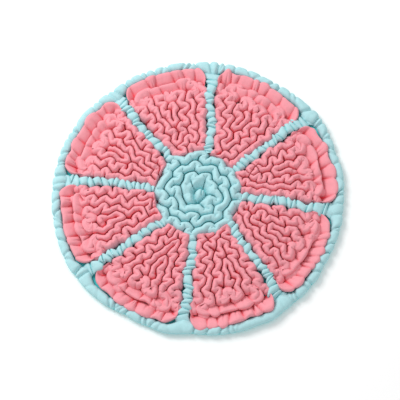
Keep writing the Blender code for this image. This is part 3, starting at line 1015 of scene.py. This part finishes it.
# %% Sweep a ruched band
RUCHE_LENGTH = 0.0118
RUCHE_SLANT = 0.0080
RUCHE_SINK = 0.0072
RUCHE_PULL = 0.0032
RUCHE_SWAY = 0.0042
RUCHE_LIFT = 0.0012
LEAST_TURN = 0.4
ONE_SIDED = 0.8
PINCH_RANGE = (0.15, 1.6)
BAND_STEP = 0.0008
BAND_END_POINTS = 12
BAND_SMOOTHING = 6
BAND_WANDER = 0.0052
BAND_WANDER_LENGTH = 0.026
BAND_WANDER_FROM = 0.02
BAND_HALF_WIDTH = 0.0094
BAND_BELOW_FOLDS = 0.002
BAND_UNEVEN_LENGTH = 0.02
BAND_UNEVEN_WIDTH = 0.14
BAND_UNEVEN_HEIGHT = 0.0015
# Painted shade of a spoke: at its foot, how much lighter towards its top, and how much darker in a crease.
BAND_SHADES = (0.62, 0.38, 0.42)
DARKEST_BAND = 0.3
SPOKE_END_WIDER = 0.62
SPOKE_UNDER_RIM = 0.009
SPOKE_UNDER_BLEND = 0.022
SPOKE_UNDER_DROP = 0.007
# Each pair is a share of the half width and a share of the height.
BAND_SIDE = (
    (0.55, 0.00), (0.66, 0.10), (0.82, 0.28), (0.96, 0.48), (1.00, 0.62), (0.97, 0.75), (0.87, 0.86),
    (0.70, 0.94), (0.48, 0.985), (0.24, 1.0),
)
BAND_SECTION = [(x, z) for x, z in BAND_SIDE] + [(0.0, 1.0)] + [(-x, z) for x, z in BAND_SIDE[::-1]]


def band_rings(name):
    """Rows of points across a spoke, and the shade of each."""
    onward = seams[name][-1] - seams[name][-BAND_END_POINTS]
    onward /= np.linalg.norm(onward)
    line = np.vstack([seams[name], seams[name][-1] + onward * SPOKE_UNDER_RIM])
    seam = at_distance(line, np.arange(0, along(line)[-1], BAND_STEP), line)
    count = len(seam)
    radius = np.linalg.norm(seam, axis=1)
    distance = along(seam)
    panels = cut_panels(distance[-1], RUCHE_LENGTH, RUCHE_SLANT)
    turns = randoms.uniform(-1, 1, len(panels.edges))
    turns[::2] = np.abs(turns[::2]) * (1 - LEAST_TURN) + LEAST_TURN
    turns[1::2] = -np.abs(turns[1::2]) * (1 - LEAST_TURN) - LEAST_TURN
    sway = np.interp(distance, panels.edges, turns)
    end = smooth_step((radius - SPOKE_END_RADIUS) / SPOKE_END_BLEND)
    half = BAND_HALF_WIDTH * (1 + SPOKE_END_WIDER * end)
    half = half * (1 + uneven(count, BAND_STEP, BAND_UNEVEN_LENGTH, BAND_UNEVEN_WIDTH))
    height = FOLD_HEIGHT - BAND_BELOW_FOLDS - SPOKE_END_DROP * end
    height = height + uneven(count, BAND_STEP, BAND_UNEVEN_LENGTH, BAND_UNEVEN_HEIGHT)
    height = height - SPOKE_UNDER_DROP * smooth_step(1 - (distance[-1] - distance) / SPOKE_UNDER_BLEND)
    side = side_normals(hann_all(seam, BAND_SMOOTHING))
    wander = uneven(count, BAND_STEP, BAND_WANDER_LENGTH, BAND_WANDER)
    wander = wander * np.minimum(1, distance / BAND_WANDER_FROM)
    seam = seam + side * (RUCHE_SWAY * sway + wander)[:, None]
    rings, shades = [], []
    for share, rise_and_painted_shade in BAND_SECTION:
        swell, within, index = panel_swell(distance, (1 - share) / 2, panels)
        pinch = np.interp(distance, panels.edges, np.clip(1 + turns * share * ONE_SIDED, *PINCH_RANGE))
        sunk = (1 - swell) * pinch
        width = (half - RUCHE_PULL * sunk) * share
        up = BASE_TOP + (height - BASE_TOP) * rise_and_painted_shade - RUCHE_SINK * sunk * rise_and_painted_shade**2
        lift = panels.lift[index] * RUCHE_LIFT * np.sin(math.pi * within) * rise_and_painted_shade
        plan = seam + side * width[:, None]
        rings.append(np.column_stack([plan, np.maximum(up + lift, BASE_TOP)]))
        # Painted shade: lighter towards the top of the band, darker in its creases.
        low, more, crease = BAND_SHADES
        shades.append(np.clip(low + more * rise_and_painted_shade - crease * sunk, DARKEST_BAND, 1))
    return rings, shades


# %% [markdown]
# ## Fleece
# Fleece is matt, a little fuzzy, and lighter where its nap catches the light. Deep in a fold the
# colour grows darker and richer, because light bounces from cloth to cloth there, and here that
# shade is painted into the colour. Both finishes share two groups: one makes the nap's bumps and
# mottle, and one paints the shade, mixing a darker, richer colour in towards the foot of a fold.
# The shader itself stays in each material.

# %% Shared shader groups
Socket = namedtuple("Socket", "name kind value")
NAP_DETAIL = 3.0
MOTTLE_DETAIL = 2.0
LUMPS = 1.6
# Painted shade: at or below the first shade the colour is all the shaded colour, at or above the second
# all the top colour.
DEEP_SHADE = 0.45
TOP_SHADE = 0.90


def new_group(name, inputs, outputs):
    group = bpy.data.node_groups.new(name, "ShaderNodeTree")
    for socket in inputs:
        made = group.interface.new_socket(name=socket.name, in_out="INPUT", socket_type=socket.kind)
        made.default_value = socket.value
    for socket in outputs:
        group.interface.new_socket(name=socket.name, in_out="OUTPUT", socket_type=socket.kind)
    return group, group.nodes.new("NodeGroupInput"), group.nodes.new("NodeGroupOutput")


def math_node(group, operation, first, second=None):
    node = group.nodes.new("ShaderNodeMath")
    node.operation = operation
    for socket, value in zip(node.inputs, (first, second)):
        if value is None:
            continue
        if isinstance(value, (int, float)):
            socket.default_value = value
        else:
            group.links.new(value, socket)
    return node.outputs[0]


def noise(group, vector, scale, detail):
    node = group.nodes.new("ShaderNodeTexNoise")
    node.inputs["Detail"].default_value = detail
    group.links.new(vector, node.inputs["Vector"])
    group.links.new(scale, node.inputs["Scale"])
    return node.outputs["Fac"]


def nap_group():
    group, given, result = new_group(
        "fleece_nap",
        [Socket("Nap Scale", "NodeSocketFloat", 900.0), Socket("Mottle Scale", "NodeSocketFloat", 160.0)],
        [Socket("Height", "NodeSocketFloat", 0), Socket("Mottle", "NodeSocketFloat", 0)],
    )
    place = group.nodes.new("ShaderNodeTexCoord").outputs["Object"]
    nap = noise(group, place, given.outputs["Nap Scale"], NAP_DETAIL)
    mottle = noise(group, place, given.outputs["Mottle Scale"], MOTTLE_DETAIL)
    lumps = math_node(group, "MULTIPLY", mottle, LUMPS)
    group.links.new(math_node(group, "ADD", nap, lumps), result.inputs["Height"])
    group.links.new(mottle, result.inputs["Mottle"])
    return group


def painted_crease_shade_group():
    group, given, result = new_group(
        "painted_crease_shade",
        [
            Socket("Top Color", "NodeSocketColor", (1, 1, 1, 1)),
            Socket("Painted Shade Color", "NodeSocketColor", (0, 0, 0, 1)),
            Socket("Mottle", "NodeSocketFloat", 0.5),
            Socket("Mottle Strength", "NodeSocketFloat", 0.1),
        ],
        [Socket("Color", "NodeSocketColor", None)],
    )
    # Painted shade: each point's shade sets how much of the darker, richer shaded colour is mixed into the
    # top colour.
    rise_and_painted_shade = group.nodes.new("ShaderNodeAttribute")
    rise_and_painted_shade.attribute_name = "rise_and_painted_shade"
    depth = group.nodes.new("ShaderNodeMapRange")
    depth.inputs["From Min"].default_value = DEEP_SHADE
    depth.inputs["From Max"].default_value = TOP_SHADE
    depth.interpolation_type = "SMOOTHSTEP"
    group.links.new(rise_and_painted_shade.outputs["Fac"], depth.inputs["Value"])
    blend = group.nodes.new("ShaderNodeMix")
    blend.data_type = "RGBA"
    group.links.new(depth.outputs["Result"], blend.inputs["Factor"])
    group.links.new(given.outputs["Painted Shade Color"], blend.inputs["A"])
    group.links.new(given.outputs["Top Color"], blend.inputs["B"])
    centred = math_node(group, "SUBTRACT", given.outputs["Mottle"], 0.5)
    sway = math_node(group, "MULTIPLY", centred, given.outputs["Mottle Strength"])
    value = math_node(group, "ADD", sway, 1.0)
    tint = group.nodes.new("ShaderNodeHueSaturation")
    group.links.new(blend.outputs["Result"], tint.inputs["Color"])
    group.links.new(value, tint.inputs["Value"])
    group.links.new(tint.outputs["Color"], result.inputs["Color"])
    return group


NAP, PAINTED_CREASE_SHADE = nap_group(), painted_crease_shade_group()
print("shader groups:", NAP.name, "and", PAINTED_CREASE_SHADE.name)

# %% [markdown]
# A finish is one material that places both groups with its own colours. Its painted shade colour,
# for deep in a fold, isn't just darker than the colour on top: it is a purer pink or a purer
# blue-green, as light bouncing between the folds makes it. Sheen stands in for the fuzz, which
# catches light where the surface turns away. Real hairs would do that too, but they are far too
# fine and too many for a part that has to stay light.

# %% Pink and aqua fleece
Fleece = namedtuple("Fleece", "name top deep sheen")
# Each finish: its name, its colour on top, the painted shade colour for deep in the folds, and its sheen
# tint.
PINK = Fleece("pink_fleece_nap", (0.86, 0.33, 0.38, 1), (1.0, 0.055, 0.085, 1), (1.0, 0.80, 0.82, 1))
AQUA = Fleece("aqua_fleece_nap", (0.43, 0.70, 0.735, 1), (0.09, 0.67, 0.70, 1), (0.85, 1.0, 1.0, 1))
SHEEN_WEIGHT = 0.12
SHEEN_ROUGHNESS = 0.5
BUMP_DISTANCE = 0.0006
BUMP_STRENGTH = 0.5
MOTTLE_STRENGTH = 0.16
FLEECE_ROUGHNESS = 0.95
FLEECE_SPECULAR = 0.2


def fleece(look):
    material = bpy.data.materials.new(look.name)
    material.use_nodes = True
    tree = material.node_tree
    shader = tree.nodes["Principled BSDF"]
    shader.inputs["Roughness"].default_value = FLEECE_ROUGHNESS
    shader.inputs["Specular IOR Level"].default_value = FLEECE_SPECULAR
    shader.inputs["Sheen Weight"].default_value = SHEEN_WEIGHT
    shader.inputs["Sheen Roughness"].default_value = SHEEN_ROUGHNESS
    shader.inputs["Sheen Tint"].default_value = look.sheen
    nap = tree.nodes.new("ShaderNodeGroup")
    nap.node_tree = NAP
    colour = tree.nodes.new("ShaderNodeGroup")
    colour.node_tree = PAINTED_CREASE_SHADE
    colour.inputs["Top Color"].default_value = look.top
    colour.inputs["Painted Shade Color"].default_value = look.deep
    colour.inputs["Mottle Strength"].default_value = MOTTLE_STRENGTH
    tree.links.new(nap.outputs["Mottle"], colour.inputs["Mottle"])
    tree.links.new(colour.outputs["Color"], shader.inputs["Base Color"])
    bump = tree.nodes.new("ShaderNodeBump")
    bump.inputs["Distance"].default_value = BUMP_DISTANCE
    bump.inputs["Strength"].default_value = BUMP_STRENGTH
    tree.links.new(nap.outputs["Height"], bump.inputs["Height"])
    tree.links.new(bump.outputs["Normal"], shader.inputs["Normal"])
    return material


pink_fleece, aqua_fleece = fleece(PINK), fleece(AQUA)
print("finishes:", pink_fleece.name, "and", aqua_fleece.name)

# %% [markdown]
# ## Petals, spokes and rosette
#
# Now each strip is made from the parts above. A petal is its outer rows and the surface over its
# upright folds, the rosette is such a surface alone, and a spoke is a ruched band. Each strip's
# flat cut is a band of fleece, folded in half along its length and gathered, so its length is
# that of the fold and not of the seam. A spoke's is an estimate, 1.35 times its seam.

# %% Make the strips
END_LENGTH = 0.006
END_DROP = 0.004
UNEVEN_HEIGHT = 0.0034
UNEVEN_THICKNESS = 0.16
UNEVEN_LENGTH = 0.018
PLEATS_FROM = 0.05
UPRIGHT_TO = 0.94


def strip_parts(name, fold, foot, room, kind):
    """The parts of a strip. Each kind draws its uneven sizes in the same order."""
    path, count = along(fold), len(fold)
    lean, wave, height, puff = stand_up(fold, foot, name)
    ends = smooth_step(np.minimum(path, path[-1] - path) / END_LENGTH)
    height = height + uneven(count, SWEEP_STEP, UNEVEN_LENGTH, UNEVEN_HEIGHT) - END_DROP * (1 - ends)
    half = gather_sizes(foot, kind)[:, 3] / 2
    half = half * (1 + uneven(count, SWEEP_STEP, UNEVEN_LENGTH, UNEVEN_THICKNESS))
    panels = cut_panels(along(foot)[-1], PANEL_LENGTH, PANEL_SLANT)
    if kind == "spoke":
        rings, shades = band_rings(name)
        return [swept(rings, shades, 0, len(rings[0]))]
    top, pleated = foot + lean + wave, pleat_share(foot, kind)
    parts = []
    if kind == "petal":
        widths = fold_widths(half, room, ends, hann_smooth(bend(top), 1))
        rings, shades = outer_rings(foot, (lean, wave, puff), height, widths, pleated, panels)
        parts = [swept(rings, shades, first, last) for first, last in runs(pleated > PLEATS_FROM)]
    upright = pleated < UPRIGHT_TO
    return parts + [fold_field(top[upright], path[upright], height[upright], kind)]


def add_strip(name, line, room, kind):
    points, faces, shade = joined(strip_parts(name, *line, room, kind))
    piece = new_piece(f"{name}_fleece", points, faces.tolist(), shade)
    piece.data.materials.append(pink_fleece if kind == "petal" else aqua_fleece)
    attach(piece, BODY)
    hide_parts(name)
    return piece


strips = [add_strip(*row) for row in zip(names, even_lines, fold_rooms, kinds)]
print("triangles in the strips:", sum(2 * len(piece.data.polygons) for piece in strips))

# %% [markdown]
# ## Rim binding
#
# The binding is a gathered strip turned over the base cloth's edge. It could be swept like the
# petals, but what shows is a roll with creases across it, so it is a ring of sections whose size
# swells between the creases. Here and there the maker pulled it smooth.

# %% Sweep the rim binding
RIM_WIDTH = 0.0165
RIM_HEIGHT = 0.013
RIM_STEP_DEG = 0.25
RIM_CREASE_DEPTH = 0.0054
RIM_CREASE_WIDTH = 0.0026
RIM_PILLOW = 0.0016
RIM_GATHERS = 98
RIM_SLANT = 0.013
RIM_MEAN_RADIUS = 0.265
RIM_UNEVEN = 0.7
RIM_WANDER = 0.0016
RIM_WANDER_KNOTS = 60
RIM_CREASE_SHARES = (0.55, 1.25)
RIM_CREASE_POWER = 1.3
RIM_SMOOTHED = 0.9
RIM_CROWN = 0.75
RIM_SWELL_IN = 0.7
# Painted shade at the foot of the binding, lighter towards its top.
RIM_LOW_SHADE = 0.55
WEDGE_WIDTH = 0.013
WEDGE_DEG = 6.5
WEDGE_POWER = 1.3
# Bearings at which the binding is pulled smooth, and how wide each such stretch is.
RIM_SMOOTH = ((-68, 9), (-58, 7), (-100, 6), (-136, 5), (-215, 4))
# Bearings at which the real edge lies in or out of its even round, and by how much.
RIM_OFFSETS = ((-92, 9, -0.006), (-118, 8, -0.004), (-150, 9, 0.003), (33, 6, 0.003), (-62, 7, 0.002))
# Each pair is a share of the width in from the edge and a share of the height.
RIM_SECTION = (
    (1.02, 0.00), (1.04, 0.22), (1.00, 0.45), (0.92, 0.68), (0.80, 0.86), (0.64, 0.97), (0.46, 1.00),
    (0.28, 0.95), (0.13, 0.82), (0.03, 0.62), (0.00, 0.38), (0.03, 0.16), (0.10, 0.00), (0.24, -0.18),
)


def degrees_from(bearings, centre_deg):
    """How far these bearings, in radians, are from one in degrees: -180 to 180 degrees."""
    return np.degrees((bearings - math.radians(centre_deg) + math.pi) % (2 * math.pi) - math.pi)


def rim_gathers():
    """Bearings of the creases, unevenly spaced, and each one's depth and slant."""
    steps = 1 + RIM_UNEVEN * randoms.uniform(-1, 1, RIM_GATHERS)
    bearings = np.cumsum(steps) / steps.sum() * 2 * math.pi
    depth = randoms.uniform(*RIM_CREASE_SHARES, RIM_GATHERS)
    for centre, width in RIM_SMOOTH:
        depth *= 1 - RIM_SMOOTHED * np.exp(-((degrees_from(bearings, centre) / width) ** 2))
    return bearings, depth, randoms.uniform(-1, 1, RIM_GATHERS)


def edge_offset(bearings):
    """How far the mat's real edge lies out of its even round."""
    offset = np.zeros(len(bearings))
    for centre, width, much in RIM_OFFSETS:
        offset += much * np.exp(-((degrees_from(bearings, centre) / width) ** 2))
    return offset


def rim_edge(bearings):
    """The reach of the binding's outer edge, a little uneven, and its width."""
    count = len(bearings)
    knots = np.append(randoms.uniform(-1, 1, RIM_WANDER_KNOTS), 0)
    wander = np.interp(np.arange(count), np.linspace(0, count, len(knots)), knots)
    reach = rim_reach(bearings) + wander * RIM_WANDER + edge_offset(bearings)
    wide = np.full(count, RIM_WIDTH)
    for spoke in SPOKES:
        away = np.abs(degrees_from(bearings, spoke.outer_deg))
        wide += WEDGE_WIDTH * np.maximum(0, 1 - away / WEDGE_DEG) ** WEDGE_POWER
    return reach, hann_smooth(wide, 3)


def rim_binding():
    bearings = np.radians(np.arange(0, 360, RIM_STEP_DEG))
    count = len(bearings)
    creases, depths, slants = rim_gathers()
    reach, wide = rim_edge(bearings)
    rings = []
    for inward, rise_and_painted_shade in RIM_SECTION:
        sunk = np.zeros(count)
        for crease, depth, slant in zip(creases, depths, slants):
            place = crease + RIM_SLANT * slant * (inward - 0.5) / RIM_MEAN_RADIUS
            away = np.abs((bearings - place + math.pi) % (2 * math.pi) - math.pi) * RIM_MEAN_RADIUS
            sunk = np.maximum(sunk, depth * np.exp(-((away / RIM_CREASE_WIDTH) ** RIM_CREASE_POWER)))
        crown = math.sin(math.pi * min(1.0, max(0.0, rise_and_painted_shade)) * RIM_CROWN)
        swell = RIM_PILLOW - (RIM_PILLOW + RIM_CREASE_DEPTH) * sunk
        radius = reach - wide * inward + swell * crown * (RIM_SWELL_IN - inward)
        height = BASE_TOP + RIM_HEIGHT * rise_and_painted_shade + swell * max(0.0, rise_and_painted_shade)
        rings.append(np.column_stack([radius * np.cos(bearings), radius * np.sin(bearings), height]))
    across = len(RIM_SECTION)
    vertices = np.stack(rings, axis=1).reshape(-1, 3)
    near = np.arange(count)[:, None] * across + np.arange(across - 1)
    far = (np.arange(count)[:, None] + 1) % count * across + np.arange(across - 1)
    faces = np.stack([near, near + 1, far + 1, far], axis=2).reshape(-1, 4)
    # Painted shade: darker at the binding's foot, lighter towards its top.
    shades = [RIM_LOW_SHADE + (1 - RIM_LOW_SHADE) * max(0.0, rise_and_painted_shade) for _, rise_and_painted_shade in RIM_SECTION]
    return new_piece("rim_binding_fleece", vertices, faces.tolist(), np.tile(shades, count))


rim = rim_binding()
rim.data.materials.append(aqua_fleece)
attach(rim, BODY)
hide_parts("rim_binding")
print("creases in the rim:", RIM_GATHERS)

# %% [markdown]
# ## Base cloth
#
# The base is a round cut of the same fleece, 3 mm thick. It shows only in the gaps between the
# folds and from below, so a disc with a rounded edge is enough, with rings of vertices so that
# its surface can carry the nap.

# %% Make the base cloth
BASE_THICKNESS = 0.003
BASE_INSET = 0.005
BASE_RINGS = 24
BASE_STEPS = 192
BASE_RING_SHARES = (0.02, 0.97)
# The whole base cloth carries one low shade, so it is painted all in the aqua's painted shade colour.
BASE_SHADE = 0.45
# Each pair is a share of the reach and a share of the thickness, down over the edge.
BASE_EDGE = ((0.990, 1.0), (0.997, 0.85), (1.0, 0.5), (0.997, 0.15), (0.990, 0.0))


def base_cloth():
    bearings = np.linspace(0, 2 * math.pi, BASE_STEPS, endpoint=False)
    reach = rim_reach(bearings) + edge_offset(bearings) - BASE_INSET
    shares = np.linspace(*BASE_RING_SHARES, BASE_RINGS)
    profile = [(share, 1.0) for share in shares] + list(BASE_EDGE)
    profile += [(share, 0.0) for share in shares[::-1]]
    rings = []
    for share, rise_and_painted_shade in profile:
        height = np.full(BASE_STEPS, BASE_THICKNESS * rise_and_painted_shade)
        out = reach * share
        rings.append(np.column_stack([out * np.cos(bearings), out * np.sin(bearings), height]))
    vertices = np.concatenate(rings)
    first = np.arange(len(profile) - 1)[:, None] * BASE_STEPS
    index, around = first + np.arange(BASE_STEPS), first + (np.arange(BASE_STEPS) + 1) % BASE_STEPS
    faces = np.stack([index, index + BASE_STEPS, around + BASE_STEPS, around], axis=2)
    faces = faces.reshape(-1, 4).tolist()
    faces.append(list(range(BASE_STEPS)))
    faces.append(list(range(len(vertices) - BASE_STEPS, len(vertices)))[::-1])
    piece = new_piece("base_cloth_fleece", vertices, faces, np.full(len(vertices), BASE_SHADE))
    return piece, float((reach**2).sum() * math.pi / BASE_STEPS)


base, base_area = base_cloth()
base.data.materials.append(aqua_fleece)
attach(base, BODY)
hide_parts("base_cloth")
print("base cloth, square metres:", round(base_area, 3))

# %% [markdown]
# ## Floor and light
#
# The mat lies on a plain white floor under broad soft light, a little stronger from the upper
# left, so the folds shade gently. A white world gives the light from all round, and one large
# lamp gives the side. Several small lamps would give hard, crossing shadows in the creases.

# %% Stage and light
FLOOR_SIZE = 6.0
WORLD_STRENGTH = 0.70
SOFT_BOX = ("soft_box", (-1.4, 1.2, 2.0), 1.2, 45)
bpy.ops.mesh.primitive_plane_add(size=FLOOR_SIZE, location=(0, 0, 0))
floor = bpy.context.object
floor.name = "floor"
paper = bpy.data.materials.new("white_floor")
paper.use_nodes = True
paper_shader = paper.node_tree.nodes["Principled BSDF"]
paper_shader.inputs["Base Color"].default_value = (1.0, 1.0, 1.0, 1)
paper_shader.inputs["Roughness"].default_value = 1.0
paper_shader.inputs["Specular IOR Level"].default_value = 0.0
floor.data.materials.append(paper)

world = bpy.data.worlds.new("studio")
bpy.context.scene.world = world
world.use_nodes = True
world.node_tree.nodes["Background"].inputs["Color"].default_value = (1.0, 1.0, 1.0, 1)
world.node_tree.nodes["Background"].inputs["Strength"].default_value = WORLD_STRENGTH


def area_light(name, place, size, power):
    light = bpy.data.lights.new(name, "AREA")
    light.size = size
    light.energy = power
    lamp = bpy.data.objects.new(name, light)
    lamp.location = place
    lamp.rotation_mode = "QUATERNION"
    lamp.rotation_quaternion = (-Vector(place)).to_track_quat("-Z", "Y")
    bpy.context.scene.collection.objects.link(lamp)


area_light(*SOFT_BOX)
print("lamp:", SOFT_BOX[0], "of", SOFT_BOX[3], "W")

# %% [markdown]
# ## Camera
#
# In the picture the mat's depth is about its width times the sine of 70 degrees, so the camera
# looks down at 70 degrees. Its lens is long, because the far folds look as large as the
# near ones. The focal length follows from how many millimetres a pixel of the picture covers.

# %% Place the camera
CAMERA_ELEVATION = 70.0
CAMERA_DISTANCE = 3.2
CAMERA_SENSOR = 36.0
FRAME_PIXELS = 400
MM_PER_PIXEL = 1.89
AIM = Vector((0.004, -0.0055, 0.0))

camera_data = bpy.data.cameras.new("camera")
camera_data.sensor_width = CAMERA_SENSOR
camera_data.lens = CAMERA_SENSOR * CAMERA_DISTANCE / (FRAME_PIXELS * MM_PER_PIXEL / 1000)
camera = bpy.data.objects.new("camera", camera_data)
tilt = math.radians(CAMERA_ELEVATION)
back = Vector((0.0, -math.cos(tilt), math.sin(tilt)))
camera.location = AIM + back * CAMERA_DISTANCE
camera.rotation_mode = "QUATERNION"
camera.rotation_quaternion = (-back).to_track_quat("-Z", "Y")
bpy.context.scene.collection.objects.link(camera)
bpy.context.scene.camera = camera
bpy.context.scene.view_settings.view_transform = "Standard"
print("lens, mm:", round(camera_data.lens, 1))
